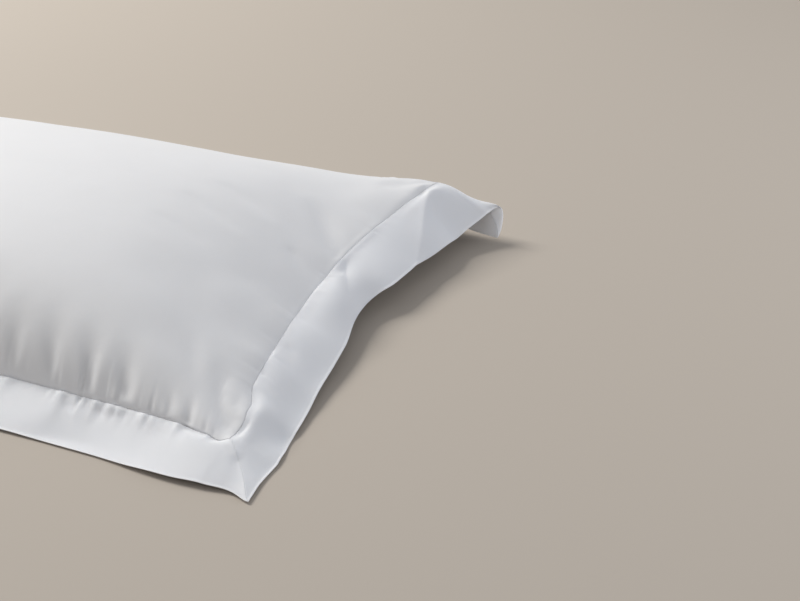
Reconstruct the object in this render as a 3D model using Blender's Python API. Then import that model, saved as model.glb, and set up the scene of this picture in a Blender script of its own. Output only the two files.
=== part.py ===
"""Bordered pillowcase on its pillow, lying flat on its back.

One filled body (top panel, back panel and the filling that shows as their crown)
inside four border strips that meet at mitred corners. Metres, +Z up. X runs along
the long sides and Y across them. The origin is on the surface that the case rests
on, under the centre of its bounding box.

Every surface is a function of the flat cut pattern: "along" and "across" are places
on the cloth before the case is filled, and the functions below say where they lie.
"""
import math
from functools import partial
from typing import NamedTuple

import bmesh
import bpy
from mathutils import Vector

# Cut pattern, flat, before filling. CLOTH is the doubled cloth of a border.
BODY_LENGTH = 0.75
BODY_WIDTH = 0.50
BORDER = 0.055
CLOTH = 0.002
GAP = 0.0003

# Filled shape: where the corners of the seam come to, and the swelling between them.
CORNER_X = 0.360
CORNER_Y = 0.238
CROWN = 0.114
CROWN_LEAN = 0.12  # how far the top of the crown lies towards the front
CROWN_POWER = 2.3  # higher is flatter on top and steeper at the sides
CROWN_ROUND = 0.56  # 0.5 meets the seam upright, as an ellipse does; 1 meets it at a slant
SOLE_SPREAD = 1.30  # share of the underside that is pressed flat
FLOOR_EASE = 0.002
FOLD_EASE = 0.012
FOLD_FADE = 0.6

# Mesh density.
LONG_STEPS = 50
SHORT_STEPS = 34
BORDER_STEPS = 5
RIM_CROWDING = 0.7
NORMAL_REACH = 0.002
STRAIGHT = 1e-4
LEVEL = 1e-6

BODY_COLOUR = (0.86, 0.86, 0.88)
BORDER_COLOUR = (0.88, 0.88, 0.91)
BODY_ROUGHNESS = 0.55
BORDER_ROUGHNESS = 0.50

HALF_LENGTH = BODY_LENGTH / 2
HALF_WIDTH = BODY_WIDTH / 2


class Side(NamedTuple):
    """One side of the case: the axis that it runs along and which way it faces."""

    name: str
    runs_along: int
    facing: int
    drawn_in: float


SIDES = {
    "front": Side("border_front", 0, -1, 0.013),
    "back": Side("border_back", 0, 1, 0.030),
    "right": Side("border_right", 1, 1, 0.030),
    "left": Side("border_left", 1, -1, 0.024),
}


class Station(NamedTuple):
    """How a side hangs at one place: at is -1 to 1 along it, slopes are degrees down."""

    at: float
    seam_height: float
    slope_at_seam: float
    slope_at_hem: float


STATIONS = {
    "front": (
        Station(-1.00, 0.020, 14, 26),
        Station(-0.55, 0.020, 22, 30),
        Station(-0.10, 0.021, 18, 34),
        Station(0.30, 0.020, 24, 26),
        Station(0.62, 0.019, 18, 32),
        Station(0.85, 0.018, 24, 10),
        Station(1.00, 0.018, 16, 22),
    ),
    "right": (
        Station(-1.00, 0.018, 30, 52),
        Station(-0.55, 0.026, 6, 22),
        Station(-0.25, 0.033, 8, 34),
        Station(0.02, 0.038, -18, 66),
        Station(0.22, 0.041, 8, 34),
        Station(0.55, 0.048, 18, 42),
        Station(1.00, 0.058, 15, 36),
    ),
    "back": (
        Station(-1.00, 0.030, 12, 40),
        Station(-0.40, 0.038, 22, 62),
        Station(0.20, 0.042, 18, 50),
        Station(0.70, 0.051, 26, 78),
        Station(1.00, 0.058, -10, 102),
    ),
    "left": (
        Station(-1.00, 0.020, 10, 24),
        Station(-0.35, 0.033, 16, 38),
        Station(0.30, 0.037, 8, 26),
        Station(1.00, 0.030, 16, 34),
    ),
}


class Fold(NamedTuple):
    """A soft trough (depth over 0) or ridge (under 0) in the cloth, between two places on the
    pattern. It is deepest at its start and fades towards its end and over its reach."""

    start_along: float
    start_across: float
    end_along: float
    end_across: float
    depth: float
    reach: float


FOLDS = (
    # Top panel, fanning out from its four corners.
    Fold(0.368, -0.234, 0.300, -0.155, 0.0075, 0.012),
    Fold(0.345, -0.242, 0.285, -0.200, 0.0045, 0.010),
    Fold(0.350, 0.222, 0.285, 0.160, 0.0050, 0.014),
    Fold(-0.345, -0.220, -0.250, -0.140, 0.0060, 0.014),
    Fold(-0.345, 0.220, -0.240, 0.150, 0.0060, 0.014),
    # Top panel, beside the right end: a wide dent with two creases in it.
    Fold(0.312, 0.065, 0.298, -0.020, 0.0095, 0.048),
    Fold(0.326, 0.023, 0.358, 0.001, 0.0025, 0.008),
    Fold(0.362, 0.066, 0.315, 0.124, 0.0040, 0.010),
    # Top panel, standing up from the front seam and hanging from the others.
    Fold(0.272, -0.243, 0.252, -0.190, 0.0050, 0.012),
    Fold(0.228, -0.243, 0.212, -0.200, 0.0045, 0.011),
    Fold(0.190, -0.243, 0.182, -0.195, 0.0045, 0.012),
    Fold(0.105, -0.243, 0.100, -0.175, 0.0045, 0.016),
    Fold(0.020, -0.243, 0.024, -0.185, 0.0040, 0.017),
    Fold(-0.090, -0.243, -0.078, -0.170, 0.0050, 0.018),
    Fold(-0.215, -0.243, -0.200, -0.185, 0.0045, 0.015),
    Fold(0.170, 0.243, 0.150, 0.180, 0.0045, 0.016),
    Fold(-0.060, 0.243, -0.050, 0.170, 0.0045, 0.018),
    Fold(-0.368, 0.050, -0.290, 0.030, 0.0050, 0.017),
    Fold(-0.368, -0.080, -0.300, -0.070, 0.0040, 0.015),
    # Borders: dips and puffs along the right end, then shallow dips along the front.
    Fold(0.380, -0.240, 0.390, -0.195, -0.0045, 0.009),
    Fold(0.388, -0.113, 0.408, -0.171, 0.0035, 0.008),
    Fold(0.388, 0.046, 0.404, 0.012, 0.0045, 0.010),
    Fold(0.396, 0.205, 0.428, 0.127, -0.0045, 0.013),
    Fold(0.216, -0.262, 0.222, -0.295, 0.0020, 0.008),
    Fold(0.262, -0.264, 0.268, -0.300, 0.0020, 0.011),
    Fold(0.030, -0.266, 0.034, -0.300, 0.0020, 0.012),
)


def clamp(value, low, high):
    """Keep a value between two limits."""
    return max(low, min(high, value))


def ease(fraction):
    """Smooth step from 0 to 1."""
    return fraction * fraction * (3 - 2 * fraction)


def crowd(value):
    """Spread even grid places so that they lie closer together near the rim."""
    return (1 - RIM_CROWDING) * value + RIM_CROWDING * math.sin(math.pi / 2 * value)


def lift_off_floor(height):
    """Round off where cloth comes down on the surface, so that it lies flat there."""
    overlap = max(FLOOR_EASE - abs(height), 0) / FLOOR_EASE
    return max(height, 0) + overlap * overlap * FLOOR_EASE / 4


def station(side_key, at):
    """Blend the two neighbouring stations of a side."""
    rows = STATIONS[side_key]
    for before, after in zip(rows, rows[1:]):
        if at <= after.at:
            part = ease(clamp((at - before.at) / (after.at - before.at), 0, 1))
            return Station(*(low + (high - low) * part for low, high in zip(before, after)))
    return rows[-1]


def half_run(side):
    """Half of the seam's length along a side, on the pattern."""
    return (HALF_LENGTH, HALF_WIDTH)[side.runs_along]


def half_of_other(side):
    """Distance on the pattern from the middle of the case to a side's seam."""
    return (HALF_WIDTH, HALF_LENGTH)[side.runs_along]


def outward(side_key):
    """Unit vector that leaves the body across a side."""
    side = SIDES[side_key]
    direction = Vector((0, 0, 0))
    direction[1 - side.runs_along] = side.facing
    return direction


def plan(p, q):
    """Where the pattern point (p, q), each -1 to 1, lies seen from above."""
    end = SIDES["right"] if p > 0 else SIDES["left"]
    edge = SIDES["back"] if q > 0 else SIDES["front"]
    x = p * (CORNER_X - end.drawn_in * (1 - q * q) * p * p)
    y = q * (CORNER_Y - edge.drawn_in * (1 - p * p) * q * q)
    return x, y


def mix(low, high, share):
    """Straight blend of two values."""
    return low + (high - low) * share


def rim_height(p, q):
    """Height of the sewn rim, carried smoothly across the body between all four sides."""
    across, lengthwise = (q + 1) / 2, (p + 1) / 2
    front, back = (station(key, p).seam_height for key in ("front", "back"))
    left, right = (station(key, q).seam_height for key in ("left", "right"))
    near, far = (
        mix(station("left", end).seam_height, station("right", end).seam_height, lengthwise)
        for end in (-1, 1)
    )
    return mix(front, back, across) + mix(left, right, lengthwise) - mix(near, far, across)


def swell(p, q):
    """Share of the full crown at a pattern point: 1 in the middle and 0 on the rim."""
    lengthwise = max(1 - abs(p) ** CROWN_POWER, 0)
    leaning = q + CROWN_LEAN * (1 - q * q)
    across = max(1 - abs(leaning) ** CROWN_POWER, 0)
    return (lengthwise * across) ** CROWN_ROUND


def fold_depth(along, across):
    """Depth of all the folds at a pattern point."""
    total = 0.0
    here = Vector((along, across))
    for fold in FOLDS:
        start = Vector((fold.start_along, fold.start_across))
        run = Vector((fold.end_along, fold.end_across)) - start
        part = clamp((here - start).dot(run) / run.length_squared, 0, 1)
        distance = (here - start - run * part).length
        total += fold.depth * (1 - FOLD_FADE * part) * math.exp(-((distance / fold.reach) ** 2))
    return total


def body_point(p, q, is_top):
    """Place of a pattern point of the filled body, on its top or its back panel."""
    x, y = plan(p, q)
    rim = rim_height(p, q)
    if is_top:
        full = swell(p, q)
        inward = min((1 - abs(p)) * HALF_LENGTH, (1 - abs(q)) * HALF_WIDTH)
        folds = fold_depth(p * HALF_LENGTH, q * HALF_WIDTH) * min(inward / FOLD_EASE, 1)
        return Vector((x, y, rim + CLOTH / 2 + (CROWN - rim) * full - folds))
    settled = min(SOLE_SPREAD * swell(p, q), 1)
    return Vector((x, y, (rim - CLOTH / 2) * (1 - settled)))


def hang(side_key, at, distance):
    """Reach out and fall of a border at a distance from its seam, along an arc."""
    here = station(side_key, at)
    first = math.radians(here.slope_at_seam)
    turn = math.radians(here.slope_at_hem) - first
    last = first + turn * distance / BORDER
    if abs(turn) < STRAIGHT:
        return distance * math.cos(first), distance * math.sin(first)
    radius = BORDER / turn
    return radius * (math.sin(last) - math.sin(first)), radius * (math.cos(first) - math.cos(last))


def border_point(side_key, along, distance):
    """Middle of the border cloth, from its place along a side and out from the seam."""
    side = SIDES[side_key]
    half = half_run(side)
    at = clamp(along / half, -1, 1)
    p, q = (at, side.facing) if side.runs_along == 0 else (side.facing, at)
    x, y = plan(p, q)
    reach, fall = hang(side_key, at, distance)
    place = Vector((x, y, rim_height(p, q) - fall)) + outward(side_key) * (reach + GAP)
    beyond = max(abs(along) - half, 0)
    if beyond > 0:
        lower, upper = ("left", "right") if side.runs_along == 0 else ("front", "back")
        corner_side = upper if along > 0 else lower
        reach, fall = hang(corner_side, side.facing, beyond)
        place += outward(corner_side) * reach
        place.z -= fall
    out = side.facing * (half_of_other(side) + distance)
    pattern = (along, out) if side.runs_along == 0 else (out, along)
    place.z -= fold_depth(*pattern) * min(distance / FOLD_EASE, 1)
    place.z = CLOTH / 2 + lift_off_floor(place.z - CLOTH / 2)
    return place


def border_normal(side_key, along, distance):
    """Direction across the border cloth's thickness: upright where it meets the seam."""
    if distance <= 0:
        return Vector((0, 0, 1))
    place = partial(border_point, side_key)
    inner, outer = max(distance - NORMAL_REACH, 0), min(distance + NORMAL_REACH, BORDER)
    lengthwise = place(along + NORMAL_REACH, distance) - place(along - NORMAL_REACH, distance)
    across = place(along, outer) - place(along, inner)
    side = SIDES[side_key]
    turned = side.facing * (1 if side.runs_along == 0 else -1)
    return lengthwise.cross(across).normalized() * turned


def slab(columns, rows):
    """Closed flat slab of grid cells, 2 by 2 across, its top at z = 1 and its bottom at z = 0."""
    mesh = bmesh.new()
    bmesh.ops.create_grid(mesh, x_segments=columns, y_segments=rows, size=1)
    bottom = mesh.faces[:]
    raised = bmesh.ops.extrude_face_region(mesh, geom=bottom, use_keep_orig=True)
    top = [item for item in raised["geom"] if isinstance(item, bmesh.types.BMVert)]
    bmesh.ops.translate(mesh, verts=top, vec=(0, 0, 1))
    bmesh.ops.recalc_face_normals(mesh, faces=mesh.faces[:])
    return mesh


def add_object(name, mesh, material):
    """Store a mesh as a named, smooth-shaded object."""
    data = bpy.data.meshes.new(name)
    mesh.to_mesh(data)
    mesh.free()
    data.materials.append(material)
    data.shade_smooth()
    item = bpy.data.objects.new(name, data)
    bpy.context.collection.objects.link(item)
    return item


def add_material(name, colour, roughness):
    """Plain cloth material."""
    material = bpy.data.materials.new(name)
    material.use_nodes = True
    shader = material.node_tree.nodes["Principled BSDF"]
    shader.inputs["Base Color"].default_value = (*colour, 1)
    shader.inputs["Roughness"].default_value = roughness
    shader.inputs["Metallic"].default_value = 0
    return material


def build_body(material):
    """Filled body: top and back panels closed around the filling."""
    mesh = slab(LONG_STEPS, SHORT_STEPS)
    for vertex in mesh.verts:
        vertex.co = body_point(crowd(vertex.co.x), crowd(vertex.co.y), vertex.co.z > 0.5)
    sole = [face for face in mesh.faces if all(vertex.co.z < LEVEL for vertex in face.verts)]
    bmesh.ops.dissolve_faces(mesh, faces=sole)
    return add_object("filled_case", mesh, material)


def build_border(side_key, material):
    """One border strip, cut on the mitre at both ends."""
    side = SIDES[side_key]
    steps = (LONG_STEPS, SHORT_STEPS)[side.runs_along]
    half = half_run(side)
    mesh = slab(steps, BORDER_STEPS)
    for vertex in mesh.verts:
        distance = (vertex.co.y + 1) / 2 * BORDER
        along = crowd(vertex.co.x) * (half + distance - GAP)
        middle = border_point(side_key, along, distance)
        vertex.co = middle + border_normal(side_key, along, distance) * CLOTH * (vertex.co.z - 0.5)
    bmesh.ops.recalc_face_normals(mesh, faces=mesh.faces[:])
    return add_object(side.name, mesh, material)


def centre_on_origin(items):
    """Move all meshes so that the bounding box stands centred on the origin."""
    points = [vertex.co for item in items for vertex in item.data.vertices]
    low = Vector(min(point[axis] for point in points) for axis in range(3))
    high = Vector(max(point[axis] for point in points) for axis in range(3))
    shift = Vector((-(low.x + high.x) / 2, -(low.y + high.y) / 2, -low.z))
    for item in items:
        for vertex in item.data.vertices:
            vertex.co += shift


def main():
    """Build the case."""
    for item in list(bpy.data.objects):
        bpy.data.objects.remove(item, do_unlink=True)
    items = [build_body(add_material("body_cloth", BODY_COLOUR, BODY_ROUGHNESS))]
    for side_key in SIDES:
        cloth = add_material(side_key + "_border_cloth", BORDER_COLOUR, BORDER_ROUGHNESS)
        items.append(build_border(side_key, cloth))
    centre_on_origin(items)


main()
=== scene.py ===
"""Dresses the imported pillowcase: settled cloth, mitred borders, seams, stitches and studio.

The top panel and the borders are worked out as one sheet from the tables below, which follow
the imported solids. A cloth run lets that sheet swell and pucker, and the case's body and its
four borders are then cut from it. Metres throughout, in the part's frame: X runs along the
long sides, Y across them from the front border to the back one, and Z up.
"""

import logging
import math
from collections.abc import Callable
from dataclasses import dataclass, field
from enum import Enum

import bmesh
import bpy
import numpy as np
from mathutils import Matrix, Vector


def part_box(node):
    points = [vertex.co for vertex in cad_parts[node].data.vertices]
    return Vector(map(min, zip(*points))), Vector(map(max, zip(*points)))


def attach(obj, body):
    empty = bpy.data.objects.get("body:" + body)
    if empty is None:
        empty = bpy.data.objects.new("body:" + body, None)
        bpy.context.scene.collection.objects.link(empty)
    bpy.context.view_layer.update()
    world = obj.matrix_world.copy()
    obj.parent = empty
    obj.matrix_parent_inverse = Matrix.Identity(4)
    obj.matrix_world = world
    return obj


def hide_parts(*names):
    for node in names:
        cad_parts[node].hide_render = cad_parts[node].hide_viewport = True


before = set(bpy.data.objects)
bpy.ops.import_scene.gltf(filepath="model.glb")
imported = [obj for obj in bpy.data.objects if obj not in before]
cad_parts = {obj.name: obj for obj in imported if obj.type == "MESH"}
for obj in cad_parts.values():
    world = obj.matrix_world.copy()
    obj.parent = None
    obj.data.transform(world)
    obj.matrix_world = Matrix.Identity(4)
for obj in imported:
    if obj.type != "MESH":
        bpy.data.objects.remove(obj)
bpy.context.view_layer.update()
LOG = logging.getLogger("pillowcase")
Array = np.ndarray
# Lengths under a hair count as none, and a trace is the least length to divide by, in metres.
HAIR = 1e-6
TRACE = 1e-9
# Distance between the bands of a Wave Texture whose scale is 1.
WAVE_PERIOD = 0.1 * math.pi


class Edge(Enum):
    """A side of the case: node, axis that it runs along, facing, draw and share of gathers."""

    FRONT = ("border_front", 0, -1, 0.013, 1.0)
    BACK = ("border_back", 0, 1, 0.030, 0.5)
    RIGHT = ("border_right", 1, 1, 0.030, 0.2)
    LEFT = ("border_left", 1, -1, 0.024, 0.7)

    @property
    def node(self) -> str:
        """Name of the border's node."""
        return self.value[0]

    @property
    def runs_along(self) -> int:
        """Axis that the side runs along: 0 for X and 1 for Y."""
        return self.value[1]

    @property
    def facing(self) -> int:
        """Which way the side looks along the other axis: 1 or -1."""
        return self.value[2]

    @property
    def drawn_in(self) -> float:
        """How far the middle of the seam lies inside the line between its corners."""
        return self.value[3]

    @property
    def gathering(self) -> float:
        """Share of the full gathers that the side's seam draws in."""
        return self.value[4]


@dataclass(frozen=True)
class Station:
    """How a side hangs at one place: at is -1 to 1 along it, slopes are degrees down."""

    at: float
    seam_height: float
    slope_at_seam: float
    slope_at_hem: float


STATIONS: dict[Edge, tuple[Station, ...]] = {
    Edge.FRONT: (
        Station(-1.00, 0.020, 14, 26),
        Station(-0.55, 0.020, 22, 30),
        Station(-0.10, 0.021, 18, 34),
        Station(0.30, 0.020, 24, 26),
        Station(0.62, 0.019, 18, 32),
        Station(0.85, 0.018, 24, 10),
        Station(1.00, 0.018, 16, 22),
    ),
    Edge.RIGHT: (
        Station(-1.00, 0.018, 24, 40),
        Station(-0.78, 0.0215, 8, 18),
        Station(-0.55, 0.026, 6, 22),
        Station(-0.25, 0.033, 8, 34),
        Station(0.02, 0.038, -8, 56),
        Station(0.22, 0.041, 8, 34),
        Station(0.55, 0.048, 18, 42),
        Station(0.80, 0.053, 26, 38),
        Station(1.00, 0.057, 16, 34),
    ),
    Edge.BACK: (
        Station(-1.00, 0.030, 12, 40),
        Station(-0.40, 0.038, 22, 62),
        Station(0.20, 0.042, 18, 50),
        Station(0.70, 0.050, 20, 70),
        Station(1.00, 0.057, 24, 140),
    ),
    Edge.LEFT: (
        Station(-1.00, 0.020, 10, 24),
        Station(-0.35, 0.033, 16, 38),
        Station(0.30, 0.037, 8, 26),
        Station(1.00, 0.030, 16, 34),
    ),
}


@dataclass(frozen=True)
class Fold:
    """A trough (depth over 0) or ridge (depth under 0) that runs from its start to its end.

    By its end it is shallower by the share in fade and wider by the share in widening, or
    deeper and narrower where they are under 0. A crisp one has a sharp line.
    """

    start: tuple[float, float]
    end: tuple[float, float]
    depth: float
    reach: float
    fade: float = 0.75
    widening: float = 1.5
    crisp: bool = False


FOLDS: tuple[Fold, ...] = (
    # Top panel, narrowing into its four corners.
    Fold((0.255, -0.105), (0.360, -0.236), 0.0018, 0.0330, -0.5, -0.68),
    Fold((0.270, -0.100), (0.366, -0.228), 0.0018, 0.0290, -0.5, -0.52),
    Fold((0.270, 0.140), (0.366, 0.240), 0.0022, 0.0300, 0.0, -0.75),
    Fold((-0.235, -0.115), (-0.366, -0.241), 0.0038, 0.0300, 0.0, -0.75),
    Fold((-0.235, 0.115), (-0.366, 0.241), 0.0038, 0.0300, 0.0, -0.75),
    # Top panel, beside the right end: a wide dent with two creases in it.
    Fold((0.316, 0.095), (0.300, -0.030), 0.0090, 0.0480, 0.4, 0.3),
    Fold((0.326, 0.023), (0.358, 0.001), 0.0014, 0.0070),
    Fold((0.350, 0.060), (0.315, 0.124), 0.0010, 0.0150),
    # Top panel, standing up from the front seam and hanging from the others.
    Fold((0.314, -0.246), (0.302, -0.222), 0.0022, 0.0042),
    Fold((0.334, -0.246), (0.318, -0.218), 0.0016, 0.0045),
    Fold((0.268, -0.246), (0.252, -0.204), 0.0050, 0.0060),
    Fold((0.228, -0.246), (0.218, -0.206), 0.0050, 0.0050),
    Fold((0.190, -0.246), (0.176, -0.208), 0.0044, 0.0055),
    Fold((0.150, -0.246), (0.140, -0.212), 0.0036, 0.0055),
    Fold((0.105, -0.246), (0.100, -0.190), 0.0040, 0.0080),
    Fold((0.020, -0.246), (0.024, -0.195), 0.0040, 0.0085),
    Fold((-0.090, -0.246), (-0.078, -0.185), 0.0045, 0.0090),
    Fold((-0.215, -0.246), (-0.200, -0.190), 0.0040, 0.0085),
    Fold((0.170, 0.246), (0.160, 0.215), 0.0035, 0.0095),
    Fold((-0.060, 0.246), (-0.055, 0.205), 0.0040, 0.0110),
    Fold((-0.371, 0.050), (-0.290, 0.030), 0.0045, 0.0100),
    Fold((-0.371, -0.080), (-0.300, -0.070), 0.0040, 0.0100),
    # Borders: dips and puffs along the right end, then shallow dips along the front.
    Fold((0.387, -0.240), (0.390, -0.206), -0.0014, 0.0085, 0.4, 0.5),
    Fold((0.394, -0.272), (0.418, -0.298), 0.0020, 0.0065),
    Fold((0.388, -0.113), (0.408, -0.171), 0.0012, 0.0085),
    Fold((0.378, 0.056), (0.406, 0.010), 0.0036, 0.0065, 0.4, crisp=True),
    Fold((0.386, 0.026), (0.392, -0.010), -0.0018, 0.0110),
    Fold((0.380, 0.226), (0.430, 0.114), -0.0066, 0.0145, 0.3, 0.3, crisp=True),
    Fold((0.216, -0.262), (0.222, -0.295), 0.0016, 0.0065),
    Fold((0.252, -0.264), (0.258, -0.300), 0.0040, 0.0240, 0.0),
    Fold((0.346, -0.264), (0.346, -0.300), -0.0032, 0.0240, 0.0),
    Fold((0.030, -0.266), (0.034, -0.300), 0.0016, 0.0095),
)


@dataclass(frozen=True)
class Nudge:
    """A soft shove of the whole case about one place of its pattern, in metres."""

    at: tuple[float, float]
    shift: tuple[float, float, float]
    reach: float


NUDGES: tuple[Nudge, ...] = (
    # The near right corner: its seam turns bluntly, and its tip reaches out.
    Nudge((0.345, -0.250), (0.0015, -0.0016, -0.0024), 0.014),
    Nudge((0.363, -0.250), (0.0015, -0.0035, -0.0042), 0.009),
    Nudge((0.375, -0.238), (0.0016, -0.0024, -0.0032), 0.009),
    Nudge((0.375, -0.226), (0.0050, 0.0006, -0.0020), 0.011),
    Nudge((0.375, -0.205), (0.0054, 0.0007, -0.0023), 0.014),
    Nudge((0.375, -0.305), (-0.0028, 0.0016, 0.0006), 0.020),
    Nudge((0.402, -0.305), (-0.0024, 0.0029, 0.0000), 0.016),
    Nudge((0.430, -0.305), (-0.0013, -0.0040, 0.0000), 0.014),
    Nudge((0.375, -0.200), (0.0000, 0.0000, -0.0020), 0.012),
    # The near half of the right hem, which stands clear of the floor.
    Nudge((0.430, -0.283), (-0.0032, -0.0026, 0.0016), 0.018),
    Nudge((0.430, -0.260), (-0.0013, -0.0018, 0.0015), 0.020),
    Nudge((0.430, -0.236), (-0.0011, -0.0002, 0.0053), 0.022),
    Nudge((0.430, -0.212), (-0.0043, -0.0008, -0.0034), 0.022),
    Nudge((0.430, -0.188), (-0.0009, -0.0005, 0.0004), 0.024),
    Nudge((0.430, -0.160), (-0.0005, -0.0002, -0.0016), 0.026),
    Nudge((0.430, -0.130), (-0.0009, 0.0003, 0.0002), 0.028),
    Nudge((0.430, -0.095), (0.0010, 0.0008, 0.0000), 0.030),
    Nudge((0.430, -0.060), (-0.0015, 0.0018, 0.0002), 0.030),
    # The near half of the right border, which slopes down steeply from a raised seam.
    Nudge((0.430, -0.258), (-0.0024, 0.0026, -0.0033), 0.028),
    Nudge((0.430, -0.230), (0.0000, 0.0003, -0.0019), 0.028),
    Nudge((0.430, -0.202), (-0.0015, -0.0005, -0.0027), 0.028),
    Nudge((0.430, -0.174), (-0.0021, -0.0001, -0.0034), 0.028),
    Nudge((0.430, -0.146), (-0.0010, -0.0002, -0.0031), 0.028),
    Nudge((0.430, -0.118), (-0.0017, -0.0010, -0.0031), 0.028),
    Nudge((0.430, -0.090), (-0.0011, -0.0004, -0.0017), 0.028),
    Nudge((0.430, -0.060), (0.0008, -0.0007, -0.0012), 0.028),
    Nudge((0.375, -0.212), (0.0015, -0.0007, 0.0042), 0.028),
    Nudge((0.375, -0.184), (-0.0006, 0.0029, 0.0018), 0.028),
    Nudge((0.375, -0.156), (0.0021, 0.0028, 0.0031), 0.028),
    Nudge((0.375, -0.128), (0.0007, 0.0011, 0.0025), 0.028),
    Nudge((0.375, -0.100), (0.0018, 0.0010, 0.0018), 0.028),
    Nudge((0.375, -0.070), (0.0013, 0.0003, 0.0013), 0.028),
    Nudge((0.375, -0.040), (0.0004, -0.0016, -0.0001), 0.028),
    # The far right corner, which hangs straight down with its tip swung round to the end.
    Nudge((0.430, -0.020), (-0.0043, -0.0009, 0.0002), 0.030),
    Nudge((0.430, 0.015), (-0.0032, -0.0006, 0.0001), 0.030),
    Nudge((0.430, 0.035), (-0.0074, 0.0074, -0.0006), 0.035),
    Nudge((0.430, 0.050), (0.0020, -0.0007, -0.0003), 0.030),
    Nudge((0.430, 0.080), (0.0017, -0.0079, 0.0000), 0.035),
    Nudge((0.430, 0.085), (-0.0019, 0.0004, 0.0002), 0.030),
    Nudge((0.430, 0.125), (0.0025, 0.0005, -0.0033), 0.033),
    Nudge((0.430, 0.170), (0.0047, -0.0040, -0.0020), 0.035),
    Nudge((0.430, 0.210), (-0.0003, -0.0061, -0.0066), 0.030),
    Nudge((0.430, 0.250), (0.0034, -0.0029, -0.0067), 0.026),
    Nudge((0.430, 0.280), (0.0124, -0.0047, 0.0216), 0.022),
    Nudge((0.430, 0.305), (0.0097, -0.0091, -0.0026), 0.022),
    Nudge((0.400, 0.305), (0.0136, -0.0079, -0.0018), 0.034),
    Nudge((0.375, 0.250), (-0.0003, -0.0037, -0.0012), 0.020),
    # Small corrections to the front hem and to the far half of the right seam.
    Nudge((0.240, -0.305), (0.0000, -0.0008, -0.0010), 0.030),
    Nudge((0.275, -0.305), (0.0001, 0.0008, 0.0009), 0.030),
    Nudge((0.310, -0.305), (0.0001, -0.0006, -0.0008), 0.030),
    Nudge((0.345, -0.305), (0.0000, -0.0011, -0.0014), 0.030),
    Nudge((0.380, -0.305), (0.0002, -0.0003, -0.0006), 0.030),
    Nudge((0.375, 0.070), (-0.0018, -0.0002, 0.0013), 0.035),
    Nudge((0.375, 0.130), (-0.0010, -0.0001, 0.0007), 0.045),
    # The two left corners, drawn in a little.
    Nudge((-0.375, -0.250), (0.003, 0.003, 0.000), 0.014),
    Nudge((-0.375, 0.250), (0.003, -0.003, 0.000), 0.014),
)


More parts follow.
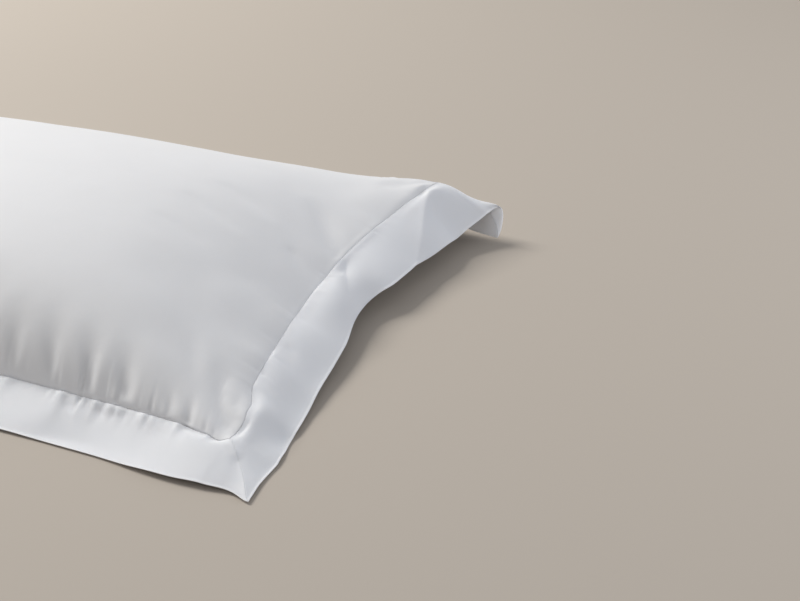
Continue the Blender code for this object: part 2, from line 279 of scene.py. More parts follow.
@dataclass
class CaseForm:
    """Form of the filled case before the cloth settles, on places of its flat pattern."""

    body_length: float = 0.75
    body_width: float = 0.50
    border: float = 0.055
    cloth: float = 0.0011
    corner_x: float = 0.360
    corner_y: float = 0.238
    crown: float = 0.114
    crown_lean: float = 0.12
    crown_power: float = 2.3
    right_power: float = 2.15
    crown_round: float = 0.56
    right_ease: float = 0.80
    front_ease: float = 0.01
    sole_spread: float = 1.30
    floor_ease: float = 0.002
    fold_ease: float = 0.006
    landing_sharpness: float = 6.0
    least_turn: float = 1e-4
    shift: Vector = field(default_factory=Vector)

    def __post_init__(self) -> None:
        """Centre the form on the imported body, which the part centres on its whole box."""
        low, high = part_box("filled_case")
        self.shift = Vector(((low[0] + high[0]) / 2, (low[1] + high[1]) / 2, 0))

    @property
    def half(self) -> tuple[float, float]:
        """Half of the body's pattern along X and Y."""
        return self.body_length / 2, self.body_width / 2

    def outside(self, along: Array, across: Array) -> Array:
        """How far places of the pattern lie outside the seam, or under 0 inside it."""
        return np.maximum(np.abs(along) - self.half[0], np.abs(across) - self.half[1])

    def station(self, edge: Edge, at: Array) -> tuple[Array, Array, Array]:
        """Blend the stations of a side.

        Args:
            edge: The side.
            at: Places along it, -1 to 1.

        Returns:
            The seam's height, and the slopes at the seam and at the hem in radians.
        """
        rows = STATIONS[edge]
        places = np.array([row.at for row in rows])
        index = np.clip(np.searchsorted(places, at, side="left"), 1, len(rows) - 1)
        part = np.clip((at - places[index - 1]) / (places[index] - places[index - 1]), 0, 1)
        part = part * part * (3 - 2 * part)
        blended = []
        for name in ("seam_height", "slope_at_seam", "slope_at_hem"):
            values = np.array([getattr(row, name) for row in rows], float)
            blended.append(values[index - 1] + (values[index] - values[index - 1]) * part)
        return blended[0], np.radians(blended[1]), np.radians(blended[2])

    def plan(self, p: Array, q: Array) -> tuple[Array, Array]:
        """Find where points of the body lie, seen from above.

        Args:
            p: Places along the body, -1 at its left end to 1 at its right end.
            q: Places across it, -1 at its front side to 1 at its back side.

        Returns:
            X and Y.
        """
        end = np.where(p > 0, Edge.RIGHT.drawn_in, Edge.LEFT.drawn_in)
        side = np.where(q > 0, Edge.BACK.drawn_in, Edge.FRONT.drawn_in)
        x = p * (self.corner_x - end * (1 - q * q) * p * p)
        y = q * (self.corner_y - side * (1 - p * p) * q * q)
        return x, y

    def rim_height(self, p: Array, q: Array) -> Array:
        """Carry the height of the sewn rim smoothly across the body between its sides.

        Args:
            p: Places along the body, -1 to 1.
            q: Places across it, -1 to 1.

        Returns:
            The height at each place.
        """
        across, lengthwise = (q + 1) / 2, (p + 1) / 2
        front, back = (self.station(edge, p)[0] for edge in (Edge.FRONT, Edge.BACK))
        left, right = (self.station(edge, q)[0] for edge in (Edge.LEFT, Edge.RIGHT))
        corner = {
            (edge, end): float(self.station(edge, np.array([end]))[0][0])
            for edge in (Edge.LEFT, Edge.RIGHT)
            for end in (-1.0, 1.0)
        }
        near, far = (
            corner[Edge.LEFT, end] * (1 - lengthwise) + corner[Edge.RIGHT, end] * lengthwise
            for end in (-1.0, 1.0)
        )
        ruled = front * (1 - across) + back * across + left * (1 - lengthwise) + right * lengthwise
        return ruled - near * (1 - across) - far * across

    def swell(self, p: Array, q: Array) -> Array:
        """Find the share of the full crown that the body rises to.

        Args:
            p: Places along the body, -1 to 1.
            q: Places across it, -1 to 1.

        Returns:
            The share at each place, 1 at the top of the crown and 0 on the rim.
        """
        power = np.where(p > 0, self.right_power, self.crown_power)
        lengthwise = np.maximum(1 - np.abs(p) ** power, 0)
        leaning = q + self.crown_lean * (1 - q * q)
        across = np.maximum(1 - np.abs(leaning) ** self.crown_power, 0)
        rise = self.eased(lengthwise, np.where(p > 0, self.right_ease, self.front_ease))
        return rise * self.eased(across, np.full_like(across, self.front_ease))

    def eased(self, share: Array, ease: Array) -> Array:
        """Round a share of the crown off; the rise from the rim is less upright with more ease."""
        steep = 1 - self.crown_round
        return share * ((1 + ease) / (share + ease)) ** steep

    def fold_depth(self, along: Array, across: Array) -> Array:
        """Add up the depths of all the folds.

        Args:
            along: Places on the pattern in X.
            across: Places on the pattern in Y.

        Returns:
            How far the folds lower the cloth at each place.
        """
        total = np.zeros_like(along)
        for fold in FOLDS:
            run = np.subtract(fold.end, fold.start)
            from_start = np.stack([along - fold.start[0], across - fold.start[1]])
            part = np.clip(np.tensordot(run, from_start, 1) / (run @ run), 0, 1)
            apart = np.hypot(from_start[0] - run[0] * part, from_start[1] - run[1] * part)
            reach = fold.reach * (1 + fold.widening * part)
            share = np.exp(-apart / reach) if fold.crisp else np.exp(-((apart / reach) ** 2))
            total += fold.depth * (1 - fold.fade * part) * share
        return total

    def hang(self, edge: Edge, at: Array, distance: Array) -> tuple[Array, Array]:
        """Reach out and fall of a border along its arc.

        Args:
            edge: The side.
            at: Places along it, -1 to 1.
            distance: Distance out from the seam, over the cloth.

        Returns:
            How far the cloth reaches out and how far it falls.
        """
        _, first, final = self.station(edge, at)
        turn = final - first
        turn = np.where(np.abs(turn) < self.least_turn, self.least_turn, turn)
        last = first + turn * distance / self.border
        radius = self.border / turn
        return radius * (np.sin(last) - np.sin(first)), radius * (np.cos(first) - np.cos(last))

    def off_floor(self, height: Array) -> Array:
        """Round off where cloth comes down on the surface, so that it lies flat there."""
        overlap = np.maximum(self.floor_ease - np.abs(height), 0) / self.floor_ease
        return np.maximum(height, 0) + overlap * overlap * self.floor_ease / 4

    def sheet(self, along: Array, across: Array) -> Array:
        """Place of the top panel and the borders, as one sheet.

        Args:
            along: Places on the pattern in X.
            across: Places on the pattern in Y.

        Returns:
            Points, with X, Y and Z in the last axis.
        """
        half_x, half_y = self.half
        p, q = np.clip(along / half_x, -1, 1), np.clip(across / half_y, -1, 1)
        x, y = self.plan(p, q)
        rim = self.rim_height(p, q)
        outside = self.outside(along, across)
        farthest = np.maximum(outside, TRACE)
        # At a corner both of its sides hang, so their falls are added. The full drop is the
        # one at the hem straight out from each place, and it says whether the hem would sink.
        drop, full_drop = np.zeros_like(along), np.zeros_like(along)
        for edge in Edge:
            out, at, half = (along, q, half_x) if edge.runs_along else (across, p, half_y)
            distance = np.maximum(out * edge.facing - half, 0)
            reach, fall = self.hang(edge, at, distance)
            drop += fall
            full_fall = self.hang(edge, at, np.full_like(along, self.border))[1]
            full_drop += full_fall * distance / farthest
            if edge.runs_along:
                x = x + reach * edge.facing
            else:
                y = y + reach * edge.facing
        drop = drop * self.landing(full_drop, rim - self.cloth / 2)
        z = rim + (self.crown - rim) * self.swell(p, q) - drop
        # The seam holds the cloth, so the folds die out beside it.
        eased = 1 - np.exp(-((outside / self.fold_ease) ** 2))
        z = z - self.fold_depth(along, across) * eased
        placed = np.stack([x, y, z], -1) + self.nudged(along, across) + np.array(self.shift)
        return self.rested(placed, outside)

    def landing(self, full_drop: Array, room: Array) -> Array:
        """Share of a border's fall that leaves its hem on the floor, and not below it."""
        over = np.maximum(full_drop, 0) / np.maximum(room, HAIR)
        return (1 + over**self.landing_sharpness) ** (-1 / self.landing_sharpness)

    def nudged(self, along: Array, across: Array) -> Array:
        """Add up the shifts of all the nudges.

        Args:
            along: Places on the pattern in X.
            across: Places on the pattern in Y.

        Returns:
            How far each place moves, with X, Y and Z in the last axis.
        """
        total = np.zeros(along.shape + (3,))
        for nudge in NUDGES:
            apart = np.hypot(along - nudge.at[0], across - nudge.at[1])
            total += np.exp(-((apart / nudge.reach) ** 2))[..., None] * nudge.shift
        return total

    def rested(self, places: Array, outside: Array) -> Array:
        """Keep the borders' cloth on top of the floor.

        Args:
            places: Points, with X, Y and Z in the last axis. They are changed.
            outside: How far each point lies outside the seam.

        Returns:
            The points.
        """
        resting = self.cloth / 2 + self.off_floor(places[..., 2] - self.cloth / 2)
        places[..., 2] = np.where(outside > 0, resting, places[..., 2])
        return places

    def sole(self, along: Array, across: Array) -> Array:
        """Place the back panel, pressed flat where it rests.

        Args:
            along: Places on the pattern in X.
            across: Places on the pattern in Y.

        Returns:
            Points, with X, Y and Z in the last axis.
        """
        half_x, half_y = self.half
        p, q = along / half_x, across / half_y
        x, y = self.plan(p, q)
        pressed = np.minimum(self.sole_spread * self.swell(p, q), 1)
        places = np.stack([x, y, self.rim_height(p, q)], -1) + self.nudged(along, across)
        places[..., 2] *= 1 - pressed
        return places + np.array(self.shift)


@dataclass
class Settling:
    """A short cloth run in which the sheet, cut flat, swells and puckers beside its seam."""

    form: CaseForm
    body_steps: tuple[int, int] = (120, 80)
    border_steps: int = 10
    rim_crowding: float = 0.5
    pressure: float = 2.0
    hold: float = 0.04
    frames: int = 20
    most: float = 0.012
    moved: Array = field(default_factory=lambda: np.zeros(0))

    def lines(self, axis: int) -> Array:
        """Lay grid lines over the pattern: border, body and border again.

        Args:
            axis: 0 for lines along X and 1 for lines along Y.

        Returns:
            Where the lines lie.
        """
        half = self.form.half[axis]
        even = np.linspace(-1, 1, self.body_steps[axis] + 1)
        crowded = np.sin(np.pi / 2 * even)
        body = half * (even + (crowded - even) * self.rim_crowding)
        border = half + np.linspace(0, self.form.border, self.border_steps + 1)[1:]
        return np.concatenate([-border[::-1], body, border])

    def run(self) -> None:
        """Let the sheet settle, and keep how far each of its points moved."""
        along, across = np.meshgrid(self.lines(0), self.lines(1))
        start = self.form.sheet(along, across)
        self.moved = np.zeros_like(start)
        piece = self.sheet_object(start)
        self.cut_flat(piece, along, across)
        self.add_cloth(piece, along, across)
        scene = bpy.context.scene
        for number in range(1, self.frames + 1):
            scene.frame_set(number)
        settled = piece.evaluated_get(bpy.context.evaluated_depsgraph_get()).to_mesh()
        places = np.empty(len(settled.vertices) * 3)
        settled.vertices.foreach_get("co", places)
        scene.frame_set(1)
        mesh = piece.data
        bpy.data.objects.remove(piece)
        bpy.data.meshes.remove(mesh)
        moved = places.reshape(start.shape) - start
        size = np.linalg.norm(moved, axis=-1, keepdims=True)
        self.moved = moved * self.most / np.maximum(size, TRACE) * np.tanh(size / self.most)
        LOG.info("cloth run moved the sheet by up to %.1f mm", 1000 * float(size.max()))

    def sheet_object(self, start: Array) -> bpy.types.Object:
        """Make the grid that settles, with its points in rows along X.

        Args:
            start: Points of the grid before it settles.

        Returns:
            The object, linked to the scene.
        """
        rows, columns = start.shape[:2]
        sketch = bmesh.new()
        bmesh.ops.create_grid(sketch, x_segments=columns - 1, y_segments=rows - 1, size=1)
        mesh = bpy.data.meshes.new("settling_sheet")
        sketch.to_mesh(mesh)
        sketch.free()
        mesh.vertices.foreach_set("co", start.ravel())
        piece = bpy.data.objects.new("settling_sheet", mesh)
        bpy.context.scene.collection.objects.link(piece)
        return piece

    def cut_flat(self, piece: bpy.types.Object, along: Array, across: Array) -> None:
        """Give the sheet a second shape, the flat cloth that it was cut from.

        Args:
            piece: The sheet.
            along: Its points' places on the pattern in X.
            across: Their places in Y.
        """
        piece.shape_key_add(name="formed")
        flat = piece.shape_key_add(name="flat")
        pattern = np.stack([along, across, np.zeros_like(along)], -1)
        flat.data.foreach_set("co", pattern.ravel())

    def add_cloth(self, piece: bpy.types.Object, along: Array, across: Array) -> None:
        """Pin the seam, fill the body with air and hold the rest loosely to its form.

        Args:
            piece: The sheet.
            along: Its points' places on the pattern in X.
            across: Their places in Y.
        """
        outside = self.form.outside(along, across).ravel()
        seam = np.abs(outside) < HAIR
        held = piece.vertex_groups.new(name="held")
        held.add(np.flatnonzero(seam).tolist(), 1.0, "REPLACE")
        held.add(np.flatnonzero(~seam).tolist(), self.hold, "REPLACE")
        filled = piece.vertex_groups.new(name="filled")
        filled.add(np.flatnonzero(outside < HAIR).tolist(), 1.0, "REPLACE")
        cloth = piece.modifiers.new("settle", "CLOTH")
        settings = cloth.settings
        settings.quality = 6
        settings.mass = 0.15
        settings.tension_stiffness = 20
        settings.compression_stiffness = 20
        settings.shear_stiffness = 8
        settings.bending_stiffness = 2.0
        settings.effector_weights.gravity = 0
        settings.vertex_group_mass = held.name
        settings.pin_stiffness = 1.0
        settings.use_pressure = True
        settings.uniform_pressure_force = self.pressure
        settings.vertex_group_pressure = filled.name
        settings.rest_shape_key = piece.data.shape_keys.key_blocks["flat"]
        cloth.collision_settings.use_collision = False
        cloth.point_cache.frame_start = 1
        cloth.point_cache.frame_end = self.frames

    def sheet(self, along: Array, across: Array) -> Array:
        """Place of the settled sheet.

        Args:
            along: Places on the pattern in X.
            across: Places on the pattern in Y.

        Returns:
            Points, with X, Y and Z in the last axis.
        """
        columns, column_shares = self.neighbours(along, 0)
        rows, row_shares = self.neighbours(across, 1)
        moved = np.zeros(along.shape + (3,))
        for row, row_share in zip(rows, row_shares):
            for column, column_share in zip(columns, column_shares):
                moved += self.moved[row, column] * (row_share * column_share)[..., None]
        return self.form.sheet(along, across) + moved

    def neighbours(self, places: Array, axis: int) -> tuple[list[Array], list[Array]]:
        """Find the four grid lines about each place, with their shares on a smooth curve.

        Args:
            places: Places on the pattern.
            axis: 0 for X and 1 for Y.

        Returns:
            The four lines' numbers, and their shares. None lies over the seam.
        """
        lines = self.lines(axis)
        last = len(lines) - 1
        number = np.interp(places, lines, np.arange(last + 1))
        first = np.clip(np.floor(number).astype(int), 0, last - 1)
        part = number - first
        seams = (self.border_steps, last - self.border_steps)
        low = np.select([first < seams[0], first < seams[1]], [0, seams[0]], seams[1])
        high = np.select([first < seams[0], first < seams[1]], list(seams), last)
        numbers = [np.clip(first + step, low, high) for step in (-1, 0, 1, 2)]
        square, cube = part * part, part * part * part
        shares = [
            (-cube + 2 * square - part) / 2,
            (3 * cube - 5 * square + 2) / 2,
            (-3 * cube + 4 * square + part) / 2,
            (cube - square) / 2,
        ]
        return numbers, shares


@dataclass(frozen=True)
class Gather:
    """One size of the small gathers beside the seam; narrow ones fade sooner than wide ones."""

    width: float
    depth: float
    body_fade: float
    border_fade: float


@dataclass
class SewnSheet:
    """The settled sheet, with the gathers that its sewing draws in on both sides of the seam."""

    settled: Settling
    seed: int = 11
    step: float = 0.001
    seam_ease: float = 0.0016
    gathers: tuple[Gather, ...] = (
        Gather(0.0042, 0.0032, 0.0070, 0.0060),
        Gather(0.0085, 0.0036, 0.0150, 0.0080),
    )
    corner_calm: float = 0.060
    corner_overrun: float = 0.010
    side_overrun: float = 0.100
    hem_roll: float = 0.0009
    hem_roll_reach: float = 0.0013

    @property
    def form(self) -> CaseForm:
        """Form of the case that the sheet settled from."""
        return self.settled.form

    def surface(self, along: Array, across: Array, proud: Array | float = 0.0) -> Array:
        """Place of the sewn sheet, moved out along its own normals.

        Args:
            along: Places on the pattern in X.
            across: Places on the pattern in Y.
            proud: How far above the middle of the cloth.

        Returns:
            Points, with X, Y and Z in the last axis.
        """
        middle = self.settled.sheet(along, across)
        lengthwise = self.settled.sheet(along + self.step, across) - middle
        crosswise = self.settled.sheet(along, across + self.step) - middle
        normal = np.cross(lengthwise, crosswise)
        length = np.linalg.norm(normal, axis=-1, keepdims=True)
        normal /= np.maximum(length, TRACE * self.step)
        outside = self.form.outside(along, across)
        from_hem = (self.form.border - outside) / self.hem_roll_reach
        roll = self.hem_roll * np.exp(-(from_hem**2))
        out = (proud + roll - self.gathered(along, across))[..., None]
        return self.form.rested(middle + normal * out, outside)

    def gathered(self, along: Array, across: Array) -> Array:
        """Add up the depths of the gathers of all four sides.

        Args:
            along: Places on the pattern in X.
            across: Places on the pattern in Y.

        Returns:
            How far the gathers lower the cloth at each place.
        """
        random = np.random.default_rng(self.seed)
        total = np.zeros_like(along)
        for edge in Edge:
            run, out = (across, along) if edge.runs_along else (along, across)
            half_run = self.form.half[edge.runs_along]
            distance = out * edge.facing - self.form.half[1 - edge.runs_along]
            for gather in self.gathers:
                trough = self.trough(random, run, half_run, gather.width)
                trough = np.where(distance > 0, trough, np.maximum(trough, 0))
                fade = np.where(distance > 0, gather.border_fade, gather.body_fade)
                envelope = np.exp(-np.abs(distance) / fade) * self.end_fade(run, half_run)
                total += edge.gathering * gather.depth * trough * envelope
        outside = self.form.outside(along, across)
        return total * (1 - np.exp(-((outside / self.seam_ease) ** 2)))

    def end_fade(self, run: Array, half_run: float) -> Array:
        """Share of a side's gathers that is left towards the ends of its seam."""
        return np.clip((half_run + self.corner_overrun - np.abs(run)) / self.corner_calm, 0, 1)

    def trough(
        self, random: np.random.Generator, run: Array, half_run: float, width: float
    ) -> Array:
        """Draw uneven troughs and ridges along a side, from -1 to 1 deep.

        Args:
            random: The seeded source.
            run: Places along the side.
            half_run: Half of the side's length.
            width: Distance over which the depth changes.

        Returns:
            The depth at each place.
        """
        count = 2 * math.ceil((half_run + self.side_overrun) / width)
        values = random.uniform(-1, 1, count + 2) ** 3
        number = np.clip(run / width + count / 2, 0, count)
        first = np.floor(number).astype(int)
        part = number - first
        part = part * part * (3 - 2 * part)
        return values[first] * (1 - part) + values[first + 1] * part


def mesh_object(name: str, sketch: bmesh.types.BMesh) -> bpy.types.Object:
    """Turn a finished bmesh into a smooth-shaded object at the origin.

    Args:
        name: The new object's name.
        sketch: The bmesh, which is freed.

    Returns:
        The object, linked to the scene.
    """
    for face in sketch.faces:
        face.smooth = True
    mesh = bpy.data.meshes.new(name)
    sketch.to_mesh(mesh)
    sketch.free()
    piece = bpy.data.objects.new(name, mesh)
    bpy.context.scene.collection.objects.link(piece)
    return piece


def set_pattern_uv(sketch: bmesh.types.BMesh) -> None:
    """Give every face corner its place on the pattern, in metres.

    Args:
        sketch: A bmesh that still lies flat on its pattern.
    """
    layer = sketch.loops.layers.uv.new("pattern")
    for face in sketch.faces:
        for loop in face.loops:
            loop[layer].uv = loop.vert.co.xy


class Nodes:
    """A material's node tree, with short calls to add nodes and join them."""

    def __init__(self, name: str) -> None:
        """Start a material with its Principled shader already joined to the output.

        Args:
            name: The material's name.
        """
        self.material = bpy.data.materials.new(name)
        self.material.use_nodes = True
        self.tree = self.material.node_tree
        self.shader = self.tree.nodes["Principled BSDF"]

    def add(self, kind: str, settings: dict | None = None, **inputs: object) -> bpy.types.Node:
        """Add a node.

        Args:
            kind: The node's type, without ShaderNode.
            settings: Values for the node's own properties.
            inputs: Values or output sockets for its inputs, by name with _ for a space.

        Returns:
            The node.
        """
        node = self.tree.nodes.new("ShaderNode" + kind)
        for name, value in (settings or {}).items():
            setattr(node, name, value)
        for name, value in inputs.items():
            self.put(node, name.replace("_", " "), value)
        return node

    def put(self, node: bpy.types.Node, key: str | int, value: object) -> None:
        """Set one input of a node, or join an output socket to it.

        Args:
            node: The node.
            key: The input's name or number.
            value: The value or the output socket.
        """
        if isinstance(value, bpy.types.NodeSocket):
            self.tree.links.new(value, node.inputs[key])
        else:
            node.inputs[key].default_value = value

    def work_out(self, operation: str, *values: object) -> bpy.types.NodeSocket:
        """Combine values with a Math node.

        Args:
            operation: The node's operation.
            values: Values or output sockets for its inputs, in order.

        Returns:
            The result's socket.
        """
        node = self.add("Math", {"operation": operation})
        for number, value in enumerate(values):
            self.put(node, number, value)
        return node.outputs[0]

    def finish(self, **inputs: object) -> bpy.types.Material:
        """Set or join inputs of the shader.

        Args:
            inputs: Values or output sockets, by name with _ for a space.

        Returns:
            The finished material.
        """
        for name, value in inputs.items():
            self.put(self.shader, name.replace("_", " "), value)
        return self.material


@dataclass(frozen=True)
class SateenFinish:
    """White cotton sateen: fine floats along one way, soft creasing and a low sheen."""

    name: str
    colour: tuple[float, float, float, float]
    shade: tuple[float, float, float, float]
    roughness: float = 0.62
    specular: float = 0.24
    sheen: float = 0.15
    glow: float = 0.2
    thread_gap: float = 0.00042
    thread_height: float = 0.00003
    crease_height: float = 0.00025
    tone_share: float = 0.70
    slub_share: float = 0.35

    def material(self) -> bpy.types.Material:
        """Make the material, which reads the piece's own pattern UV.

        Returns:
            The material.
        """
        nodes = Nodes(self.name)
        uv = nodes.add("UVMap", {"uv_map": "pattern"}).outputs["UV"]
        threads = nodes.add("Mapping", None, Vector=uv, Scale=(1.0, 0.12, 1.0)).outputs[0]
        tone = nodes.add("TexNoise", None, Vector=uv, Scale=16.0, Detail=3.0, Roughness=0.5)
        slub = nodes.add("TexNoise", None, Vector=threads, Scale=900.0, Detail=2.0)
        slubs = nodes.work_out("MULTIPLY", slub.outputs[0], self.slub_share)
        blend = nodes.work_out("MULTIPLY_ADD", tone.outputs[0], self.tone_share, slubs)
        tinted = nodes.add("MixRGB", None, Fac=blend, Color1=self.shade, Color2=self.colour)
        return nodes.finish(
            Base_Color=tinted.outputs[0],
            Roughness=self.roughness,
            Sheen_Weight=self.sheen,
            Sheen_Roughness=0.4,
            Specular_IOR_Level=self.specular,
            Subsurface_Weight=self.glow,
            Subsurface_Scale=0.003,
            Subsurface_Radius=(1.0, 0.95, 0.9),
            Normal=self.relief(nodes, uv, slub.outputs[0]),
        )

    def relief(
        self, nodes: Nodes, uv: bpy.types.NodeSocket, slub: bpy.types.NodeSocket
    ) -> bpy.types.NodeSocket:
        """Raise the weave and the soft creasing.

        Args:
            nodes: The material's nodes.
            uv: The pattern coordinates.
            slub: The uneven thickness of the threads.

        Returns:
            The normal.
        """
        weave = nodes.add(
            "TexWave",
            {"bands_direction": "DIAGONAL"},
            Vector=uv,
            Scale=WAVE_PERIOD / self.thread_gap,
            Distortion=0.6,
            Detail=1.0,
        )
        crease = nodes.add("TexNoise", None, Vector=uv, Scale=38.0, Detail=3.0, Roughness=0.45)
        soft = nodes.add(
            "Bump", None, Strength=0.6, Distance=self.crease_height, Height=crease.outputs[0]
        )
        woven = nodes.work_out("MULTIPLY", weave.outputs["Fac"], slub)
        fine = nodes.add("Bump", None, Strength=0.5, Distance=self.thread_height, Height=woven)
        nodes.put(fine, "Normal", soft.outputs[0])
        return fine.outputs[0]


@dataclass(frozen=True)
class ThreadFinish:
    """Sewing thread: a white twisted cord, a little glossier than the cloth."""

    name: str = "sewing_thread"
    colour: tuple[float, float, float, float] = (0.82, 0.82, 0.85, 1.0)
    twist_gap: float = 0.0005
    twist_height: float = 0.00005

    def material(self) -> bpy.types.Material:
        """Make the material, with its twist read from Object coordinates.

        Returns:
            The material.
        """
        nodes = Nodes(self.name)
        place = nodes.add("TexCoord").outputs["Object"]
        twist = nodes.add("TexWave", None, Vector=place, Scale=WAVE_PERIOD / self.twist_gap)
        height = twist.outputs["Fac"]
        bump = nodes.add("Bump", None, Strength=0.4, Distance=self.twist_height, Height=height)
        return nodes.finish(Base_Color=self.colour, Roughness=0.5, Normal=bump.outputs[0])


@dataclass(frozen=True)
class FloorFinish:
    """A plain matt floor in a pale warm grey."""

    name: str = "studio_floor"
    colour: tuple[float, float, float, float] = (0.525, 0.468, 0.402, 1.0)

    def material(self) -> bpy.types.Material:
        """Make the material."""
        nodes = Nodes(self.name)
        return nodes.finish(Base_Color=self.colour, Roughness=0.85, Specular_IOR_Level=0.15)


# The body and the borders are one sateen in two copies. The borders' copy is painted lighter and
# cooler than the body's. This is painted light: it stands for flanges that face the lamps and take
# the cool fill.
BODY_CLOTH = SateenFinish("body_sateen", (0.85, 0.846, 0.845, 1.0), (0.80, 0.796, 0.795, 1.0))
BORDER_CLOTH_PAINTED_LIT = SateenFinish(
    "border_sateen", (0.95, 0.95, 0.97, 1.0), (0.93, 0.93, 0.95, 1.0), glow=0.6
)


@dataclass
class FilledCase:
    """The stuffed body: a top panel and a back panel that meet in the seam."""

    cloth: SewnSheet
    steps: tuple[int, int] = (150, 100)
    finer: int = 3
    top_band: float = 0.026
    sole_band: float = 0.008
    seam_roundness: float = 0.0020
    rim_lift: float = 0.0004

    def panel(self, band: float, place: Callable[[Array], Array]) -> bpy.types.Mesh:
        """Cut one panel flat, with smaller faces beside the seam, and put it in its place.

        Args:
            band: Width of the strip of smaller faces.
            place: Gives the place of each row of flat points.

        Returns:
            The panel's mesh.
        """
        half = np.array(self.cloth.form.half)
        sketch = bmesh.new()
        bmesh.ops.create_grid(sketch, x_segments=self.steps[0], y_segments=self.steps[1], size=1)
        bmesh.ops.scale(sketch, vec=(*half, 1), verts=sketch.verts)
        near = [
            edge
            for edge in sketch.edges
            if all(min(half - np.abs(vert.co[:2])) < band for vert in edge.verts)
        ]
        bmesh.ops.subdivide_edges(sketch, edges=near, cuts=self.finer, use_grid_fill=True)
        set_pattern_uv(sketch)
        places = place(np.array([vert.co[:2] for vert in sketch.verts]))
        for vert, spot in zip(sketch.verts, places):
            vert.co = spot
        mesh = bpy.data.meshes.new("panel")
        sketch.to_mesh(mesh)
        sketch.free()
        return mesh

    def rim(self, along: Array, across: Array) -> Array:
        """How much places of the pattern belong to the rim: 1 in the seam and 0 well inside."""
        return np.exp(-((self.cloth.form.outside(along, across) / self.seam_roundness) ** 2))

    def top(self, pattern: Array) -> Array:
        """Round the outer face of the top panel down into the seam.

        Args:
            pattern: Rows of places on the pattern.

        Returns:
            Rows of points.
        """
        rim = self.rim(*pattern.T)
        places = self.cloth.surface(*pattern.T, self.cloth.form.cloth / 2 * (1 - rim))
        places[:, 2] += self.rim_lift * rim
        return places

    def sole(self, pattern: Array) -> Array:
        """Bring the outer face of the back panel up to the top panel in the seam.

        Args:
            pattern: Rows of places on the pattern.

        Returns:
            Rows of points.
        """
        places = self.cloth.form.sole(*pattern.T)
        places[:, 2] += self.rim_lift * self.rim(*pattern.T)
        return places

    def build(self) -> bpy.types.Object:
        """Sew the two panels together and dress the body.

        Returns:
            The piece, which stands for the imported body.
        """
        sketch = bmesh.new()
        panels = self.panel(self.top_band, self.top), self.panel(self.sole_band, self.sole)
        for panel in panels:
            sketch.from_mesh(panel)
            bpy.data.meshes.remove(panel)
        bmesh.ops.remove_doubles(sketch, verts=sketch.verts, dist=2e-6)
        bmesh.ops.recalc_face_normals(sketch, faces=sketch.faces)
        piece = mesh_object("case_body", sketch)
        piece.data.materials.append(BODY_CLOTH.material())
        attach(piece, "root")
        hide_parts("filled_case")
        LOG.info("%s: %d faces", piece.name, len(piece.data.polygons))
        return piece


@dataclass
class Border:
    """One mitred side of the flat border, two layers of cloth pressed together."""

    edge: Edge
    cloth: SewnSheet
    face_length: float = 0.0016
    face_width: float = 0.0020
    rim_roundness: float = 0.00035
    hem_share: float = 0.55
    hem_band: float = 0.0040
    hem_rows: tuple[float, ...] = (0.0024, 0.0016, 0.0010, 0.0005, 0.0)
    thinned: float = 0.0010

    @property
    def run(self) -> float:
        """Length of the seam on this side."""
        return 2 * self.cloth.form.half[self.edge.runs_along]

    @property
    def rows(self) -> Array:
        """Space the rows of faces, which are finer along the hem.

        Returns:
            Their distances from the seam.
        """
        border = self.cloth.form.border
        even = np.linspace(0, border - self.hem_band, round(border / self.face_width))
        return np.concatenate([even, border - np.array(self.hem_rows)])

    def pattern(self, sketch: bmesh.types.BMesh) -> Array:
        """Find where a square grid lies on the mitred strip's pattern.

        Args:
            sketch: The grid, from -1 to 1 both ways.

        Returns:
            Rows of places on the pattern, one for each vertex.
        """
        form = self.cloth.form
        grid = np.array([vert.co[:2] for vert in sketch.verts])
        distance = np.interp((grid[:, 1] + 1) / 2, np.linspace(0, 1, len(self.rows)), self.rows)
        along = grid[:, 0] * (self.run / 2 + distance)
        out = self.edge.facing * (form.half[1 - self.edge.runs_along] + distance)
        return np.stack([out, along] if self.edge.runs_along else [along, out], -1)

    def thinned_hem(self, piece: bpy.types.Object) -> bpy.types.VertexGroup:
        """Group all the strip's points but those along its hem, which is pressed thinner.

        Args:
            piece: The strip.

        Returns:
            The group of points that keep their full thickness.
        """
        half = np.array(self.cloth.form.half) + self.cloth.form.border
        layer = piece.data.uv_layers["pattern"].uv
        inside = {
            loop.vertex_index
            for loop in piece.data.loops
            if min(half - np.abs(layer[loop.index].vector)) > self.thinned
        }
        group = piece.vertex_groups.new(name="full_thickness")
        group.add(list(inside), 1.0, "REPLACE")
        return group

    def build(self) -> bpy.types.Object:
        """Build the strip and dress it.

        Returns:
            The piece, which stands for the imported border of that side.
        """
        form = self.cloth.form
        columns = round((self.run + form.border) / self.face_length)
        sketch = bmesh.new()
        bmesh.ops.create_grid(sketch, x_segments=columns, y_segments=len(self.rows) - 1, size=1)
        pattern = self.pattern(sketch)
        for vert, spot in zip(sketch.verts, pattern):
            vert.co = (*spot, 0)
        set_pattern_uv(sketch)
        for vert, spot in zip(sketch.verts, self.cloth.surface(*pattern.T)):
            vert.co = spot
        sketch.normal_update()
        # The grids of two of the sides come out mirrored, with their faces looking down.
        if sum(face.normal.z for face in sketch.faces) < 0:
            bmesh.ops.reverse_faces(sketch, faces=sketch.faces)
        piece = mesh_object(self.edge.node.replace("border", "strip"), sketch)
        layers = piece.modifiers.new("two_layers", "SOLIDIFY")
        layers.thickness = form.cloth
        layers.offset = 0
        layers.vertex_group = self.thinned_hem(piece).name
        layers.thickness_vertex_group = self.hem_share
        rounded = piece.modifiers.new("folded_edge", "BEVEL")
        rounded.width = self.rim_roundness
        rounded.segments = 2
        rounded.limit_method = "ANGLE"
        rounded.angle_limit = math.radians(60)
        piece.data.materials.append(BORDER_CLOTH_PAINTED_LIT.material())
        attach(piece, "root")
        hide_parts(self.edge.node)
        self.run + 2 * form.border
        form.border * (self.run + form.border)
        LOG.info("%s: %d faces before its layers", piece.name, len(piece.data.polygons))
        return piece


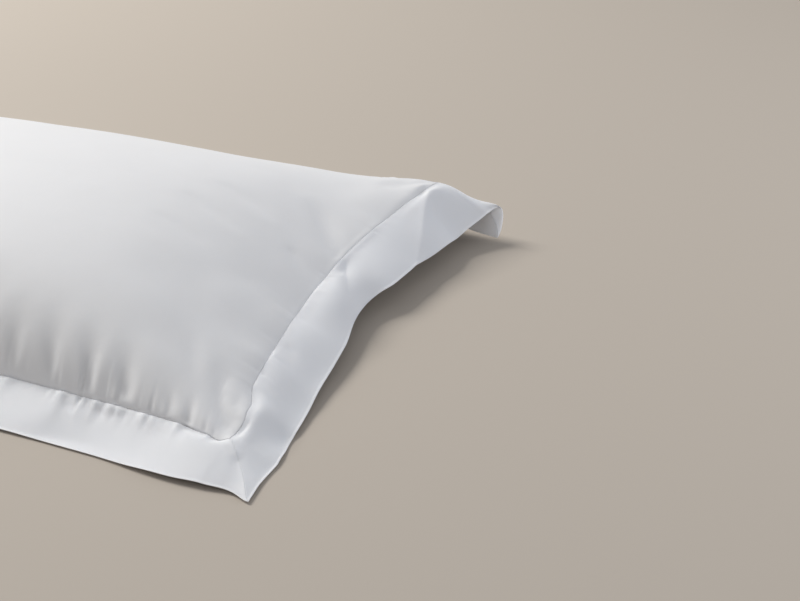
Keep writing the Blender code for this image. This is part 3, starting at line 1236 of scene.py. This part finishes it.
@dataclass
class SeamStitches:
    """The line of lockstitch that holds the body's seam, one small float after another."""

    cloth: SewnSheet
    pitch: float = 0.0031
    float_length: float = 0.0025
    thickness: float = 0.00040
    proud: float = 0.00035
    sides: int = 6
    rings: int = 5

    def course(self) -> Array:
        """Walk round the whole seam in steps of a stitch's pitch.

        Returns:
            Rows of points, with the first one again at the end.
        """
        half_x, half_y = self.cloth.form.half
        corners = np.array([(-1, -1), (1, -1), (1, 1), (-1, 1), (-1, -1)]) * (half_x, half_y)
        stops = np.concatenate([[0], np.cumsum(np.linalg.norm(np.diff(corners, axis=0), axis=1))])
        count = round(stops[-1] / self.pitch)
        at = np.linspace(0, stops[-1], count + 1)
        along, across = (np.interp(at, stops, corners[:, axis]) for axis in (0, 1))
        return self.cloth.surface(along, across, self.proud)

    def copies(self, sketch: bmesh.types.BMesh, count: int) -> int:
        """Fill a bmesh with equal stitches at the origin, doubling them until there are enough.

        Args:
            sketch: The empty bmesh.
            count: How many stitches are needed.

        Returns:
            How many vertices one stitch has.
        """
        bmesh.ops.create_uvsphere(sketch, u_segments=self.sides, v_segments=self.rings, radius=0.5)
        each = len(sketch.verts)
        while len(sketch.verts) < count * each:
            bmesh.ops.duplicate(sketch, geom=sketch.verts[:] + sketch.edges[:] + sketch.faces[:])
        sketch.verts.ensure_lookup_table()
        bmesh.ops.delete(sketch, geom=sketch.verts[count * each :], context="VERTS")
        sketch.verts.ensure_lookup_table()
        return each

    def build(self) -> bpy.types.Object:
        """Build the stitches as one piece.

        Returns:
            The piece.
        """
        course = self.course()
        sketch = bmesh.new()
        each = self.copies(sketch, len(course) - 1)
        size = Vector((self.thickness, self.thickness, self.float_length))
        for number, (start, end) in enumerate(zip(course[:-1], course[1:])):
            turn = Vector(end - start).to_track_quat("Z", "X")
            place = Matrix.LocRotScale(Vector((start + end) / 2), turn, size)
            verts = sketch.verts[number * each : (number + 1) * each]
            for vert in verts:
                vert.co = place @ vert.co
        piece = mesh_object("seam_stitches", sketch)
        piece.data.materials.append(ThreadFinish().material())
        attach(piece, "root")
        LOG.info("%s: %d stitches", piece.name, len(course) - 1)
        return piece


@dataclass(frozen=True)
class SoftLight:
    """One large rectangular lamp that looks at a point."""

    name: str
    place: tuple[float, float, float]
    target: tuple[float, float, float]
    size: tuple[float, float]
    power: float
    colour: tuple[float, float, float]

    def build(self) -> bpy.types.Object:
        """Hang the lamp.

        Returns:
            The lamp's object.
        """
        lamp = bpy.data.lights.new(self.name, "AREA")
        lamp.shape = "RECTANGLE"
        lamp.size, lamp.size_y = self.size
        lamp.energy = self.power
        lamp.color = self.colour
        piece = bpy.data.objects.new(self.name, lamp)
        piece.location = self.place
        aim = Vector(self.target) - Vector(self.place)
        piece.rotation_euler = aim.to_track_quat("-Z", "Y").to_euler()
        bpy.context.scene.collection.objects.link(piece)
        return piece


@dataclass
class Studio:
    """The plain floor, the soft light and the camera."""

    floor_size: float = 12.0
    camera_place: tuple[float, float, float] = (0.9072, -1.2094, 0.7186)
    camera_turn: float = 22.16
    camera_pitch: float = 27.45
    lens: float = 72.0
    sensor: float = 36.0
    ambient: float = 0.39
    air_colour: tuple[float, float, float, float] = (0.93, 0.95, 1.0, 1.0)
    lamps: tuple[SoftLight, ...] = (
        SoftLight("key", (-2.70, 0.85, 2.45), (0, 0, 0), (1.5, 1.5), 134, (1.0, 0.985, 0.96)),
        SoftLight("fill", (1.8, 0.5, 0.4), (0.3, 0, 0), (1.4, 0.7), 7, (0.82, 0.88, 1.0)),
    )

    def build(self) -> None:
        """Lay the floor, set the light and place the camera."""
        bpy.context.scene.view_settings.view_transform = "Standard"
        self.lay_floor()
        for lamp in self.lamps:
            lamp.build()
        self.light_air()
        self.place_camera()

    def lay_floor(self) -> None:
        """Lay the floor under the part."""
        sketch = bmesh.new()
        bmesh.ops.create_grid(sketch, x_segments=1, y_segments=1, size=self.floor_size / 2)
        floor = mesh_object("floor", sketch)
        floor.data.materials.append(FloorFinish().material())

    def light_air(self) -> None:
        """Fill the room with an even soft light."""
        world = bpy.data.worlds.new("studio_air")
        world.use_nodes = True
        air = world.node_tree.nodes["Background"]
        air.inputs["Color"].default_value = self.air_colour
        air.inputs["Strength"].default_value = self.ambient
        bpy.context.scene.world = world

    def place_camera(self) -> None:
        """Place the camera."""
        camera = bpy.data.cameras.new("camera")
        camera.lens = self.lens
        camera.sensor_width = self.sensor
        camera.sensor_fit = "HORIZONTAL"
        camera.clip_start = 0.05
        piece = bpy.data.objects.new("camera", camera)
        piece.location = self.camera_place
        tilt = math.radians(90 - self.camera_pitch)
        piece.rotation_euler = (tilt, 0, math.radians(self.camera_turn))
        bpy.context.scene.collection.objects.link(piece)
        bpy.context.scene.camera = piece


def main() -> None:
    """Build the case piece by piece, then the studio round it."""
    logging.basicConfig(level=logging.INFO, format="%(name)s: %(message)s")
    settled = Settling(CaseForm())
    settled.run()
    cloth = SewnSheet(settled)
    FilledCase(cloth).build()
    for edge in Edge:
        Border(edge, cloth).build()
    SeamStitches(cloth).build()
    Studio().build()


if __name__ == "__main__":
    main()
